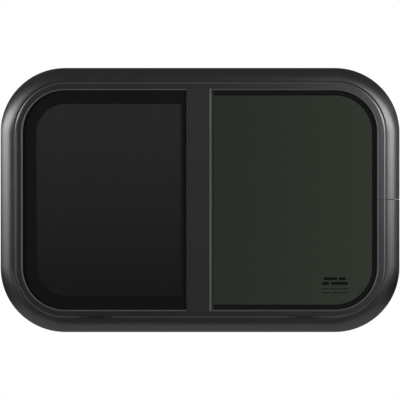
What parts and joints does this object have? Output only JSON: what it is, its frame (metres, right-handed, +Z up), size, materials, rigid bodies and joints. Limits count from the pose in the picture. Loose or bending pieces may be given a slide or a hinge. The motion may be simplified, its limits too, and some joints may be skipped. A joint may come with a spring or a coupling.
{
  "type": "sliding caravan window",
  "caption": "Black aluminium caravan window with rounded corners: a fixed tinted pane, a sliding pane behind an insect screen, and an inner clamp ring.",
  "frame": {"origin": "centre of the window, on the back plane of the outer flange where it meets the wall's outer skin", "axes": "+X right seen from outside, +Y into the caravan, +Z up"},
  "size_m": [0.74, 0.0487, 0.49],
  "materials": {
    "frame_powder_coat": "satin black powder coat on aluminium",
    "ring_powder_coat": "satin black powder coat on aluminium",
    "screen_powder_coat": "matt black powder coat on aluminium",
    "mill_aluminium": "mill-finish aluminium bar",
    "moulded_black": "moulded black plastic",
    "green_tinted_glass": "green-grey tinted toughened glass",
    "grey_tinted_glass": "grey tinted toughened glass",
    "glazing_rubber": "matt black extruded rubber",
    "screen_weave": "black coated insect mesh",
    "brush_pile": "grey-black brush pile",
    "white_nylon": "natural nylon"
  },
  "bodies": {
    "frame": {"outer_frame": "frame_powder_coat", "centre_mullion": "frame_powder_coat", "clamp_ring": "ring_powder_coat", "joint_key": "mill_aluminium", "weep_cover_left": "moulded_black", "weep_cover_right": "moulded_black", "fixed_pane": "green_tinted_glass", "fixed_pane_gasket": "glazing_rubber", "screen_frame": "screen_powder_coat", "screen_mesh": "screen_weave", "screen_spline": "glazing_rubber", "run_seal_front": "brush_pile", "run_seal_rear": "brush_pile", "jamb_seal": "glazing_rubber", "bottom_runner": "white_nylon", "slide_stop": "moulded_black", "latch_keeper": "moulded_black"},
    "sash": {"sliding_pane": "grey_tinted_glass", "pane_stile": "frame_powder_coat", "stile_pile": "brush_pile", "pull_handle": "moulded_black", "latch_lever": "moulded_black", "glide_left": "white_nylon", "glide_right": "white_nylon"}
  },
  "joints": [
    {"name": "pane_slide", "type": "slide", "parent": "frame", "child": "sash", "axis": [1, 0, 0], "range_m": [0, 0.222]}
  ]
}
